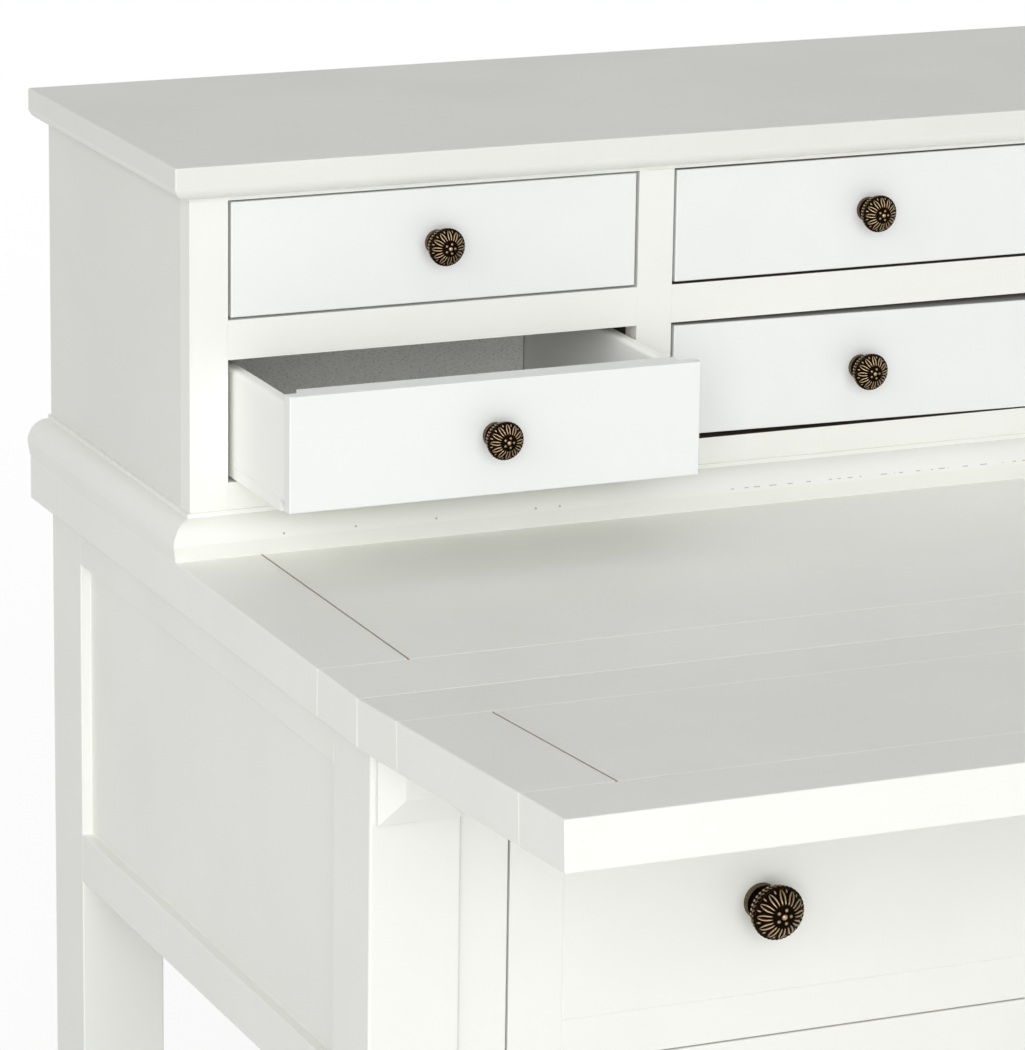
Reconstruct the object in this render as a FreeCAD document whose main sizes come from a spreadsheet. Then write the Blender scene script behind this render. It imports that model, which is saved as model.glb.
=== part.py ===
import FreeCAD, Part
import Sketcher
import math
import os
import re

# Writing desk with a drawer hutch, a fold-over leaf and pull-out leaf supports.
# Millimetres, +Z up, +X to the sitter's right, +Y to the back, floor at Z = 0.

# Driving dimensions
SIZES = {
    # fixed top and leaf
    "width": 1040,
    "top_depth": 636,
    "table_height": 770,
    "top_thick": 32,
    "end_board": 61,
    "top_rail": 66.5,
    "leaf_rail": 64,
    "leaf_depth": 313,
    "leaf_tilt_deg": 3.6,
    "fold_clear": 0.4,
    "crack": 1.4,
    "ease": 1.2,
    "fold_ease": 1.5,
    "rail_ease": 2,
    "joint_ease": 0.4,
    # legs and apron
    "side_overhang": 15.5,
    "front_overhang": 16,
    "back_overhang": 3,
    "leg": 62,
    "leg_ease": 2,
    "apron_drop": 274,
    "side_top_rail": 34.5,
    "side_bottom_rail": 36,
    "side_rail_thick": 20,
    "panel_recess": 7.6,
    "panel_thick": 9,
    "apron_setback": 4,
    "apron_thick": 20,
    "apron_stile": 34,
    "apron_top_rail": 55,
    "apron_bottom_rail": 37.6,
    "back_rail": 60,
    "back_rail_thick": 20,
    "back_rail_inset": 10,
    # pull-out supports of the leaf
    "loper_width": 30,
    "loper_height": 50,
    "loper_back_gap": 135,
    "loper_inset": 23,
    "loper_clear": 0.3,
    "cap_width": 57.6,
    "cap_height": 56,
    "cap_inset": 3.4,
    "cap_base": 4.5,
    "cap_rise": 6,
    "cap_bevel": 16.5,
    "guide_thick": 15,
    # hutch carcase
    "hutch_inset": 16.2,
    "hutch_depth": 292,
    "hutch_side": 16,
    "hutch_back": 5,
    "hutch_board": 12,
    "face_thick": 18,
    "hutch_stile": 27.3,
    "mid_stile": 26.3,
    "sill_height": 50,
    "sill_drop": 2.3,
    "floor_setback": 2.5,
    "lower_opening": 82.2,
    "mid_rail": 27.2,
    "upper_opening": 81.5,
    "head_show": 2,
    "crown_height": 10.7,
    "hutch_top": 14.4,
    "top_overhang": 15.2,
    "guide_height": 30,
    "frame_ease": 0.2,
    # mouldings under the hutch top and round its foot
    "crown_fillet_high": 1.5,
    "crown_fillet_out": 2.5,
    "crown_swell_share": 0.8,
    "foot_height": 29,
    "foot_bulge": 1.9,
    "foot_bulge_high": 11,
    "foot_fillet_high": 2.8,
    "foot_fillet_out": 2.5,
    "foot_swell_share": 0.72,
    # small drawers
    "small_gap": 2.2,
    "small_low_gap": 1.6,
    "open_low_gap": 3,
    "askew_low_gap": -0.2,
    "askew_deg": 0.62,
    "small_knob_rise": 1.8,
    "lower_knob_shift": 2.5,
    "small_high": 78.6,
    "small_front": 19.5,
    "small_lip": 9.8,
    "small_side": 10.5,
    "small_bottom": 8,
    "small_back_gap": 7,
    "small_drop": 5.2,
    "drawer_out": 109,
    # apron drawer
    "base_gap": 1.3,
    "base_low_gap": 1.2,
    "base_head_gap": 1.4,
    "base_front": 20,
    "base_lip": 9,
    "base_side": 12,
    "base_bottom": 8,
    "base_back_gap": 63,
    "base_drop": 14,
    "frame_stile": 37.5,
    "frame_rail": 30,
    "base_knob_margin": 178.4,
    "base_knob_rise": 4,
    # drawers of both kinds
    "box_inset": 1.2,
    "box_crack": 0.8,
    "rabbet_clear": 0.4,
    "wall_ease": 3,
    "front_ease": 0.9,
    "seam_ease": 0.8,
    "run_clear": 0.3,
    "runner_width": 26,
    "runner_height": 20,
    # knobs and their screws
    "small_knob": 26.4,
    "small_reach": 25.5,
    "base_knob": 37.2,
    "base_reach": 36.5,
    "screw": 4,
    "screw_clear": 0.2,
    "screw_head": 8,
    "screw_head_thick": 2.5,
    # concealed hinges of the leaf
    "barrel": 12,
    "barrel_length": 20,
    "barrel_deep": 8.4,
    "barrel_clear": 0.1,
    "link_radius": 11,
    "link_inner": 6,
    "link_thick": 2.5,
    "link_clear": 0.3,
    "link_spread_deg": 124,
    "link_play_deg": 16,
    "hinge_margin": 150,
    # cuts run past the surface by this much
    "overrun": 2,
}

# Places that follow from the driving dimensions
PLACES = {
    "leaf_reach": "leaf_depth * cos(leaf_tilt_deg * 1 deg) + top_thick * sin(leaf_tilt_deg * 1 deg)",
    "fold_y": "(leaf_reach - top_depth) / 2",
    "back_y": "fold_y + top_depth",
    "under_z": "table_height - top_thick",
    "apron_z": "under_z - apron_drop",
    "leg_x": "side_overhang - width / 2",
    "leg_front_y": "fold_y + front_overhang",
    "leg_back_y": "back_y - back_overhang",
    "between_y": "leg_front_y + leg",
    "between_deep": "leg_back_y - leg - between_y",
    "apron_y": "leg_front_y + apron_setback",
    "base_x": "leg_x + leg + apron_stile",
    "base_wide": "-2 * base_x",
    "base_z": "apron_z + apron_bottom_rail",
    "base_high": "apron_drop - apron_top_rail - apron_bottom_rail - base_low_gap - base_head_gap",
    "back_rail_y": "leg_back_y - back_rail_inset - back_rail_thick",
    "base_length": "back_rail_y - apron_y - base_back_gap",
    "loper_length": "leg + between_deep - loper_back_gap",
    "loper_z": "under_z - loper_clear - loper_height",
    "loper_x": "leg_x + loper_inset",
    "hutch_x": "hutch_inset - width / 2",
    "hutch_wide": "width - 2 * hutch_inset",
    "face_y": "back_y - hutch_depth",
    "inside_y": "face_y + face_thick",
    "inside_deep": "hutch_depth - face_thick - hutch_back",
    "first_x": "hutch_x + hutch_stile",
    "small_wide": "(hutch_wide - 2 * hutch_stile - 2 * mid_stile) / 3",
    "small_length": "hutch_depth - hutch_back - small_back_gap",
    "lower_z": "table_height + sill_height",
    "upper_z": "lower_z + lower_opening + mid_rail",
    "head_z": "upper_z + upper_opening",
    "crown_z": "head_z + head_show",
    "lid_z": "crown_z + crown_height",
    "crown_swell_x": "top_overhang - crown_fillet_out",
    "crown_swell_z": "crown_height - crown_fillet_high",
    "crown_round": "crown_swell_share * sqrt(crown_swell_x ^ 2 + crown_swell_z ^ 2)",
    "foot_out": "hutch_inset + foot_bulge",
    "foot_swell_x": "foot_out - foot_fillet_out",
    "foot_swell_z": "foot_height - foot_fillet_high - foot_bulge_high",
    "foot_round": "foot_swell_share * sqrt(foot_swell_x ^ 2 + foot_swell_z ^ 2)",
}

SIDES = ("left", "right")
ROWS = ("lower", "upper")
COLUMNS = ("left", "middle", "right")
HINGES = 4

# How near an edge is to a face of its board to count as on it, as a share of the board
EDGE_SLACK_SHARE = 1e-6

# A knob along its axis: radius shares of the head and height shares of the reach
KNOB_COLLAR_SHARES = (0.66, 0.46, 0.13)
KNOB_NECK_SHARES = (0.42, 0.42)
KNOB_BELL_SHARES = (0.46, 0.94, 0.65)
KNOB_RIM_SHARES = (1.00, 0.74)

doc = FreeCAD.newDocument("Desk")
sheet = doc.addObject("Spreadsheet::Sheet", "Dims")
nodes = []


def fill_sheet():
    """One row per value: its name, then the number or the formula, which has that alias."""
    for row, (alias, value) in enumerate({**SIZES, **PLACES}.items(), start=1):
        text = str(value) if alias in SIZES else "=" + value
        sheet.set(f"A{row}", alias)
        sheet.set(f"B{row}", text)
        sheet.setAlias(f"B{row}", alias)
    doc.recompute()


def bound(text):
    """The expression with every sheet alias given its full name."""
    return re.sub(
        r"[a-z][a-z_0-9]*",
        lambda word: "Dims." + word[0] if word[0] in SIZES or word[0] in PLACES else word[0],
        text,
    )


def value(text):
    """The expression's value now."""
    return float(sheet.evalExpression(text))


def tie(thing, prop, text):
    thing.setExpression(prop, bound(text))


def tie_size(thing, size):
    for prop, text in zip(("Length", "Width", "Height"), size):
        tie(thing, prop, text)


def place(thing, x, y, z):
    for axis, text in zip("xyz", (x, y, z)):
        tie(thing, "Placement.Base." + axis, text)


def turn(thing, x, y, z, axis, angle):
    """Set a thing at a point, turned about one axis through it."""
    tie(thing, "Placement", f"placement(vector({x}; {y}; {z}); rotation(vector({axis}); {angle}))")


def on_side(side, x, wide):
    """The x of a piece that is given for the left, or of its mirror image."""
    return x if side == "left" else f"-({x}) - ({wide})"


def in_piece(side, x, wide, whole):
    """The same inside a piece of a given whole width."""
    return x if side == "left" else f"{whole} - ({x}) - ({wide})"


def keep(thing, label):
    """Make a document object one of the desk's sub-parts."""
    thing.Label = label
    nodes.append(thing)


def keep_group(things, label):
    """Make several solids one sub-part."""
    group = doc.addObject("Part::Compound", "Group")
    group.Links = things
    keep(group, label)


def block(size, at):
    """A plain square-edged board."""
    box = doc.addObject("Part::Box", "Block")
    tie_size(box, size)
    place(box, *at)
    return box


def picked(edge, box, pick):
    """Whether an edge lies on a face of the blank (front), and runs along an axis (z@front)."""
    axis, _, face = pick.rpartition("@")
    reach = edge.BoundBox
    gaps = {
        "left": reach.XMax - box.XMin,
        "right": reach.XMin - box.XMax,
        "front": reach.YMax - box.YMin,
        "back": reach.YMin - box.YMax,
        "under": reach.ZMax - box.ZMin,
        "top": reach.ZMin - box.ZMax,
    }
    lengths = {"x": reach.XLength, "y": reach.YLength, "z": reach.ZLength, "": edge.Length}
    slack = EDGE_SLACK_SHARE * box.DiagonalLength
    return abs(gaps[face]) < slack and edge.Length - lengths[axis] < slack


def round_edges(body, blank, radius, picks):
    """Round the picked edges of the body's last feature."""
    doc.recompute()
    last = body.Tip
    box = blank.Shape.BoundBox
    names = [
        f"Edge{number}"
        for number, edge in enumerate(last.Shape.Edges, start=1)
        if any(picked(edge, box, pick) for pick in picks.split())
    ]
    fillet = body.newObject("PartDesign::Fillet", "Ease")
    fillet.Base = (last, names)
    tie(fillet, "Radius", radius)


def board(size, at, *rounds, in_leaf=False, lean=None):
    """A board with rounded edges, given by its size, its low corner and (radius, edges) pairs.

    A board that leans is turned in its own plane about that corner.
    """
    body = doc.addObject("PartDesign::Body", "Board")
    blank = body.newObject("PartDesign::AdditiveBox", "Blank")
    tie_size(blank, size)
    if in_leaf:
        place(blank, *at)
        turn(body, "0", "fold_y", "table_height", "1; 0; 0", "-leaf_tilt_deg")
    elif lean:
        turn(body, *at, "0; 1; 0", lean)
    else:
        place(body, *at)
    for radius, picks in rounds:
        round_edges(body, blank, radius, picks)
    return body


def notch(body, size, at):
    """Cut a box out of a body, in the body's own frame."""
    cut = body.newObject("PartDesign::SubtractiveBox", "Notch")
    tie_size(cut, size)
    place(cut, *at)
    return cut


def bore(body, radius, depth, x, y, z, angle):
    """Cut a round hole whose axis is the body's Z turned about X."""
    cut = body.newObject("PartDesign::SubtractiveCylinder", "Bore")
    tie(cut, "Radius", radius)
    tie(cut, "Height", depth)
    turn(cut, x, y, z, "1; 0; 0", angle)


def legs():
    """Square legs; the front ones are notched at the top for the leaf supports."""
    height = "under_z"
    slot = "loper_width + 2 * loper_clear"
    soft = ("ease", "z@back under")
    for side in SIDES:
        x = on_side(side, "leg_x", "leg")
        rear = board(("leg", "leg", height), (x, "leg_back_y - leg", "0"), ("ease", "z@front"), soft)
        keep(rear, f"leg_rear_{side}")
        front = board(("leg", "leg", height), (x, "leg_front_y", "0"), ("leg_ease", "z@front"), soft)
        slot_x = in_piece(side, "loper_inset - loper_clear", slot, "leg")
        size = (slot, "leg + 2 * overrun", "loper_height + 2 * loper_clear + overrun")
        notch(front, size, (slot_x, "-overrun", "loper_z - loper_clear"))
        keep(front, f"leg_front_{side}")


def side_walls():
    """Two rails and a sunk panel between the legs of each side."""
    panel_high = "apron_drop - side_top_rail - side_bottom_rail"
    for side in SIDES:
        x = on_side(side, "leg_x", "side_rail_thick")
        long_edges = f"y@{side}"
        top = board(
            ("side_rail_thick", "between_deep", "side_top_rail"),
            (x, "between_y", "under_z - side_top_rail"),
            ("joint_ease", long_edges),
        )
        bottom = board(
            ("side_rail_thick", "between_deep", "side_bottom_rail"),
            (x, "between_y", "apron_z"),
            ("ease", long_edges),
        )
        keep_group([top, bottom], f"side_rails_{side}")
        panel_x = on_side(side, "leg_x + panel_recess", "panel_thick")
        panel = block(
            ("panel_thick", "between_deep", panel_high),
            (panel_x, "between_y", "apron_z + side_bottom_rail"),
        )
        keep(panel, f"side_panel_{side}")


def back_wall():
    """Two rails and a panel between the rear legs."""
    x = "leg_x + leg"
    wide = f"-2 * ({x})"
    rails = [
        block((wide, "back_rail_thick", "back_rail"), (x, "back_rail_y", z))
        for z in ("apron_z", "under_z - back_rail")
    ]
    keep_group(rails, "back_rails")
    panel_y = "back_rail_y + (back_rail_thick - panel_thick) / 2"
    panel_high = "apron_drop - 2 * back_rail"
    keep(block((wide, "panel_thick", panel_high), (x, panel_y, "apron_z + back_rail")), "back_panel")


def apron_frame():
    """Stiles beside the front legs, with a rail above and below the wide drawer."""
    stiles = [
        board(
            ("apron_stile", "apron_thick", "apron_drop"),
            (on_side(side, "leg_x + leg", "apron_stile"), "apron_y", "apron_z"),
            ("ease", "z@front"),
        )
        for side in SIDES
    ]
    keep_group(stiles, "apron_stiles")
    rails = [
        board(("base_wide", "apron_thick", high), ("base_x", "apron_y", z), ("ease", "x@front"))
        for high, z in (("apron_top_rail", "under_z - apron_top_rail"), ("apron_bottom_rail", "apron_z"))
    ]
    keep_group(rails, "apron_rails")


def drawer_runners():
    """A bar under each side of the wide drawer, from the lower front rail to the back rail."""
    y = "apron_y + apron_thick"
    bars = [
        block(
            ("runner_width", f"back_rail_y - ({y})", "runner_height"),
            (on_side(side, "base_x", "runner_width"), y, "base_z - runner_height"),
        )
        for side in SIDES
    ]
    keep_group(bars, "drawer_runners")


def loper_guides():
    """A floor and an inner fence for each leaf support, between front and rear leg."""
    floor_top = "loper_z - loper_clear"
    fence_x = "loper_x + loper_width + loper_clear"
    floor_x = "leg_x + side_rail_thick"
    floor_wide = f"{fence_x} + guide_thick - ({floor_x})"
    pieces = []
    for side in SIDES:
        size = (floor_wide, "between_deep", "guide_thick")
        at = (on_side(side, floor_x, floor_wide), "between_y", f"{floor_top} - guide_thick")
        pieces.append(block(size, at))
        size = ("guide_thick", "between_deep", f"under_z - ({floor_top})")
        at = (on_side(side, fence_x, "guide_thick"), "between_y", floor_top)
        pieces.append(block(size, at))
    keep_group(pieces, "loper_guides")


def lopers():
    """Sliding bars that carry the open leaf, each with a bevelled cap in front of its leg."""
    for side in SIDES:
        bar_x = on_side(side, "loper_x", "loper_width")
        bar = block(("loper_width", "loper_length", "loper_height"), (bar_x, "leg_front_y", "loper_z"))
        cap_x = on_side(side, "leg_x + cap_inset", "cap_width")
        cap_z = "under_z - loper_clear - cap_height"
        base = block(("cap_width", "cap_base", "cap_height"), (cap_x, "leg_front_y - cap_base", cap_z))
        crown = doc.addObject("Part::Wedge", "Bevel")
        for prop, text in {
            "Xmin": "cap_bevel",
            "Xmax": "cap_width - cap_bevel",
            "Ymin": "0",
            "Ymax": "cap_rise",
            "Zmin": "cap_bevel",
            "Zmax": "cap_height - cap_bevel",
            "X2min": "0",
            "X2max": "cap_width",
            "Z2min": "0",
            "Z2max": "cap_height",
        }.items():
            tie(crown, prop, text)
        place(crown, cap_x, "leg_front_y - cap_base - cap_rise", cap_z)
        cap = doc.addObject("Part::Fuse", "Cap")
        cap.Base = base
        cap.Tool = crown
        keep_group([bar, cap], f"loper_{side}")


def hinge_x(number):
    """The x of one concealed hinge."""
    return f"(width - 2 * hinge_margin) * {number} / {HINGES - 1} - width / 2 + hinge_margin"


def barrel_bores(rail, whole_x, y, z, angle):
    """Holes for the hinge barrels in the edge of a rail."""
    for number in range(HINGES):
        x = f"{hinge_x(number)} - ({whole_x})"
        bore(rail, "barrel / 2 + barrel_clear", "barrel_length + overrun", x, y, z, angle)


def fixed_top():
    """Two end boards and a panel between full-width rails."""
    long = "top_depth - 2 * top_rail"
    left = "-width / 2"
    for side in SIDES:
        end = board(
            ("end_board", long, "top_thick"),
            (on_side(side, left, "end_board"), "fold_y + top_rail", "under_z"),
            ("ease", f"y@{side}"),
            ("rail_ease", "front"),
            ("joint_ease", "back"),
        )
        keep(end, f"top_end_board_{side}")
    panel = board(
        ("width - 2 * end_board - 2 * crack", long, "top_thick"),
        (f"{left} + end_board + crack", "fold_y + top_rail", "under_z"),
        ("rail_ease", "front"),
        ("joint_ease", "back"),
    )
    keep(panel, "top_panel")
    size = ("width", "top_rail", "top_thick")
    fold = ("fold_ease", "front y@left y@right")
    front = board(size, (left, "fold_y", "under_z"), fold, ("joint_ease", "back"))
    barrel_bores(front, left, "-overrun", "top_thick - barrel_deep", "-90")
    keep(front, "top_front_rail")
    ends = ("ease", "back y@left y@right")
    back = board(size, (left, "back_y - top_rail", "under_z"), ends, ("joint_ease", "front"))
    keep(back, "top_back_rail")


def leaf():
    """The leaf, built like the top, in a frame whose origin is on the fold line."""
    long = "leaf_depth - 2 * leaf_rail"
    left = "-width / 2"
    low = "-top_thick"
    middle_y = "leaf_rail - leaf_depth"
    for side in SIDES:
        end = board(
            ("end_board", long, "top_thick"),
            (on_side(side, left, "end_board"), middle_y, low),
            ("ease", f"y@{side}"),
            ("rail_ease", "front"),
            ("joint_ease", "back"),
            in_leaf=True,
        )
        keep(end, f"leaf_end_board_{side}")
    panel = board(
        ("width - 2 * end_board - 2 * crack", long, "top_thick"),
        (f"{left} + end_board + crack", middle_y, low),
        ("rail_ease", "front"),
        ("joint_ease", "back"),
        in_leaf=True,
    )
    keep(panel, "leaf_panel")
    rear = board(
        ("width", "leaf_rail - fold_clear", "top_thick"),
        (left, "-leaf_rail", low),
        ("ease", "y@left y@right"),
        ("rail_ease", "front"),
        ("joint_ease", "back"),
        in_leaf=True,
    )
    barrel_bores(rear, "0", "overrun", "-barrel_deep", "90")
    keep(rear, "leaf_rear_rail")
    front = board(
        ("width", "leaf_rail", "top_thick"),
        (left, "-leaf_depth", low),
        ("ease", "front y@left y@right"),
        ("joint_ease", "back"),
        in_leaf=True,
    )
    keep(front, "leaf_front_rail")


def less(base, tool):
    """One shape cut out of another."""
    cut = doc.addObject("Part::Cut", "Cut")
    cut.Base = base
    cut.Tool = tool
    return cut


def sector(x, radius, thick, spread, tilt):
    """A flat sector about the fold line, spread evenly about straight down but for a tilt."""
    disc = doc.addObject("Part::Cylinder", "Sector")
    tie(disc, "Radius", radius)
    tie(disc, "Height", thick)
    tie(disc, "Angle", spread)
    turned = f"rotation(vector(1; 0; 0); 270 - {spread} / 2 - {tilt}) * rotation(vector(1; 1; 1); 120)"
    tie(disc, "Placement", f"placement(vector({x} - ({thick}) / 2; fold_y; table_height); {turned})")
    return disc


def barrel_half(number, tilt, angle, start_y):
    """One slotted barrel, along the leaf's or the top's own depth."""
    barrel = doc.addObject("Part::Cylinder", "Barrel")
    tie(barrel, "Radius", "barrel / 2")
    tie(barrel, "Height", f"barrel_length - ({start_y})")
    x = hinge_x(number)
    seat_y = start_y if angle == "-90" else f"-({start_y})"
    lift = f"placement(vector(0; fold_y; table_height); rotation(vector(1; 0; 0); -{tilt}))"
    turned = f"placement(vector({x}; {seat_y}; -barrel_deep); rotation(vector(1; 0; 0); {angle}))"
    tie(barrel, "Placement", f"{lift} * {turned}")
    spread = "(link_spread_deg + 2 * link_play_deg)"
    slot = sector(x, "link_radius + link_clear", "link_thick + 2 * link_clear", spread, tilt)
    return less(barrel, slot)


def link(number):
    """A curved plate inside both barrels of one hinge."""
    x = hinge_x(number)
    tilt = "leaf_tilt_deg / 2"
    outer = sector(x, "link_radius", "link_thick", "link_spread_deg", tilt)
    inner = sector(x, "link_inner", "link_thick + 2 * overrun", "360", tilt)
    return less(outer, inner)


def hinges():
    """Concealed barrel hinges; the link plates swing half as far as the leaf."""
    numbers = range(HINGES)
    keep_group([barrel_half(number, "0", "-90", "0") for number in numbers], "hinge_barrels_top")
    halves = [barrel_half(number, "leaf_tilt_deg", "90", "fold_clear") for number in numbers]
    keep_group(halves, "hinge_barrels_leaf")
    keep_group([link(number) for number in numbers], "hinge_links")


def profile(body, corners, arcs):
    """A closed outline, counter-clockwise; arcs gives the radius of each side that swells outward."""
    sketch = body.newObject("Sketcher::SketchObject", "Outline")
    plane = next(item for item in body.Origin.OriginFeatures if item.Role == "XZ_Plane")
    sketch.AttachmentSupport = (plane, [""])
    sketch.MapMode = "FlatFace"
    points = [FreeCAD.Vector(value(x), value(y), 0) for x, y in corners]
    count = len(points)
    for number, start in enumerate(points):
        end = points[(number + 1) % count]
        if number in arcs:
            sketch.addGeometry(swelling_arc(start, end, value(arcs[number])))
        else:
            sketch.addGeometry(Part.LineSegment(start, end))
    for number, (x, y) in enumerate(corners):
        sketch.addConstraint(Sketcher.Constraint("Coincident", number, 2, (number + 1) % count, 1))
        for kind, axis, text in (("DistanceX", -2, x), ("DistanceY", -1, y)):
            if text == "0":
                sketch.addConstraint(Sketcher.Constraint("PointOnObject", number, 1, axis))
            else:
                index = sketch.addConstraint(Sketcher.Constraint(kind, -1, 1, number, 1, value(text)))
                tie(sketch, f"Constraints[{index}]", text)
    for number, text in arcs.items():
        index = sketch.addConstraint(Sketcher.Constraint("Radius", number, value(text)))
        tie(sketch, f"Constraints[{index}]", text)
    return sketch


def swelling_arc(start, end, radius):
    """The arc from start to end, counter-clockwise about a centre on the left of the chord."""
    chord = end - start
    inward = FreeCAD.Vector(-chord.y, chord.x, 0).normalize()
    centre = (start + end) / 2 + inward * math.sqrt(radius ** 2 - (chord.Length / 2) ** 2)
    circle = Part.Circle(centre, FreeCAD.Vector(0, 0, 1), radius)
    return Part.ArcOfCircle(circle, circle.parameter(start), circle.parameter(end))


def strip(corners, arcs, out, high, length, mitres, at, angle):
    """One moulding length: local X points out, Y runs along it, and its ends may be mitred."""
    body = doc.addObject("PartDesign::Body", "Strip")
    pad = body.newObject("PartDesign::Pad", "Length")
    pad.Profile = profile(body, corners, arcs)
    pad.Reversed = True
    tie(pad, "Length", length)
    body.Tip = pad
    cut_size = (f"4 * {out}", f"2 * {out}", f"{high} + 2 * overrun")
    if "start" in mitres:
        cut = body.newObject("PartDesign::SubtractiveBox", "Mitre")
        tie_size(cut, cut_size)
        turn(cut, f"{out} / 2 - 2 * {out} * sqrt(2)", f"{out} / 2", "-overrun", "0; 0; 1", "-45")
    if "end" in mitres:
        cut = body.newObject("PartDesign::SubtractiveBox", "Mitre")
        tie_size(cut, cut_size)
        far = f"{length} - {out} / 2 - {out} * sqrt(2)"
        turn(cut, f"{out} / 2 - {out} * sqrt(2)", far, "-overrun", "0; 0; 1", "45")
    turn(body, *at, "0; 0; 1", angle)
    return body


def moulding(label, corners, arcs, out, high, z):
    """A moulding round the hutch's two sides and front, mitred at the corners."""
    side_long = f"hutch_depth + {out}"
    front_long = f"hutch_wide + 2 * {out}"
    runs = (
        (side_long, ("end",), ("hutch_x", "back_y", z), "180"),
        (front_long, ("start", "end"), (f"hutch_x - {out}", "face_y", z), "-90"),
        (side_long, ("start",), ("-hutch_x", f"face_y - {out}", z), "0"),
    )
    keep_group([strip(corners, arcs, out, high, *run) for run in runs], label)


def mouldings():
    """The moulded foot of the hutch, and the moulding under its top."""
    foot = [
        ("0", "0"),
        ("hutch_inset", "0"),
        ("foot_out", "foot_bulge_high"),
        ("foot_fillet_out", "foot_height - foot_fillet_high"),
        ("foot_fillet_out", "foot_height"),
        ("0", "foot_height"),
    ]
    moulding("hutch_foot_moulding", foot, {2: "foot_round"}, "foot_out", "foot_height", "table_height")
    crown = [
        ("0", "0"),
        ("crown_fillet_out", "0"),
        ("crown_fillet_out", "crown_fillet_high"),
        ("top_overhang", "crown_height"),
        ("0", "crown_height"),
    ]
    moulding("hutch_top_moulding", crown, {2: "crown_round"}, "top_overhang", "crown_height", "crown_z")


def hutch_carcase():
    """Sides, back, floor, shelf and top of the hutch."""
    high = "lid_z - table_height"
    for side in SIDES:
        x = on_side(side, "hutch_x", "hutch_side")
        wall = board(
            ("hutch_side", "hutch_depth - face_thick", high),
            (x, "inside_y", "table_height"),
            ("joint_ease", "z@back"),
        )
        keep(wall, f"hutch_side_{side}")
    x = "hutch_x + hutch_side"
    wide = "hutch_wide - 2 * hutch_side"
    keep(block((wide, "hutch_back", high), (x, "back_y - hutch_back", "table_height")), "hutch_back")
    size = (wide, "inside_deep - floor_setback", "hutch_board")
    keep(block(size, (x, "inside_y + floor_setback", "lower_z - hutch_board")), "hutch_floor")
    size = (wide, "inside_deep", "hutch_board")
    keep(block(size, (x, "inside_y", "upper_z - hutch_board")), "hutch_shelf")
    top = board(
        ("hutch_wide + 2 * top_overhang", "hutch_depth + top_overhang", "hutch_top"),
        ("hutch_x - top_overhang", "face_y - top_overhang", "lid_z"),
        ("ease", "top z@front z@back"),
    )
    keep(top, "hutch_top")


def column_x(column):
    """The x of a column's drawer opening."""
    return f"first_x + {column} * (small_wide + mid_stile)"


def divider_x(number):
    """The x of the divider to the right of a column."""
    return f"{column_x(number)} + small_wide"


def hutch_dividers():
    """Partitions between the columns, and guide strips beside the outer drawers."""
    rows = (("lower_z", "upper_z - hutch_board - lower_z"), ("upper_z", "lid_z - upper_z"))
    pieces = []
    for z, high in rows:
        for number in range(len(COLUMNS) - 1):
            pieces.append(block(("mid_stile", "inside_deep", high), (divider_x(number), "inside_y", z)))
        guide = "hutch_stile - hutch_side"
        for side in SIDES:
            x = on_side(side, "hutch_x + hutch_side", guide)
            pieces.append(block((guide, "inside_deep", "guide_height"), (x, "inside_y", z)))
    keep_group(pieces, "hutch_dividers_and_guides")


def hutch_face_frame():
    """Stiles and rails round the six drawer openings."""
    pieces = []
    for side in SIDES:
        x = on_side(side, "hutch_x", "hutch_stile")
        size = ("hutch_stile", "face_thick", "lid_z - table_height")
        pieces.append(board(size, (x, "face_y", "table_height"), ("frame_ease", "z@front")))
    inner = "hutch_wide - 2 * hutch_stile"
    for z, high in (("table_height", "sill_height - sill_drop"), ("head_z", "lid_z - head_z")):
        size = (inner, "face_thick", high)
        pieces.append(board(size, ("first_x", "face_y", z), ("frame_ease", "x@front")))
    for number in range(len(COLUMNS) - 1):
        size = ("mid_stile", "face_thick", "head_z - lower_z + sill_drop")
        at = (divider_x(number), "face_y", "lower_z - sill_drop")
        pieces.append(board(size, at, ("frame_ease", "z@front")))
    for column in range(len(COLUMNS)):
        size = ("small_wide", "face_thick", "mid_rail")
        at = (column_x(column), "face_y", "upper_z - mid_rail")
        pieces.append(board(size, at, ("frame_ease", "x@front")))
    keep_group(pieces, "hutch_face_frame")


def drawer_box(kind, x, y, z, wide, high):
    """Two sides and a back standing on a bottom board, behind a drawer front."""
    box_x = f"{x} + {kind}_gap + box_inset"
    box_wide = f"{wide} - 2 * {kind}_gap - 2 * box_inset"
    floor_z = f"{z} + run_clear"
    wall_z = f"{floor_z} + {kind}_bottom"
    wall_high = f"{kind}_low_gap + {high} - {kind}_drop - run_clear - {kind}_bottom"
    side_long = f"{kind}_length - {kind}_lip"
    soft = (("wall_ease", "y@top"), ("seam_ease", "y@under"))
    walls = [
        board((f"{kind}_side", side_long, wall_high), (side_x, f"{y} + {kind}_lip", wall_z), *soft)
        for side_x in (box_x, f"{box_x} + {box_wide} - {kind}_side")
    ]
    end = f"{kind}_side + box_crack"
    size = (f"{box_wide} - 2 * ({end})", f"{kind}_side", wall_high)
    at = (f"{box_x} + {end}", f"{y} + {kind}_length - {kind}_side", wall_z)
    walls.append(board(size, at, ("joint_ease", "x@top")))
    size = (box_wide, f"{kind}_length - {kind}_front", f"{kind}_bottom")
    walls.append(board(size, (box_x, f"{y} + {kind}_front", floor_z), ("seam_ease", "y@top")))
    return walls


def solid(body, shape, z="0", **sizes):
    """Add a round primitive to a body, on the body's Z axis."""
    feature = body.newObject("PartDesign::Additive" + shape, shape)
    for prop, text in sizes.items():
        tie(feature, prop, text)
    tie(feature, "Placement.Base.z", z)
    return feature


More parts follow.
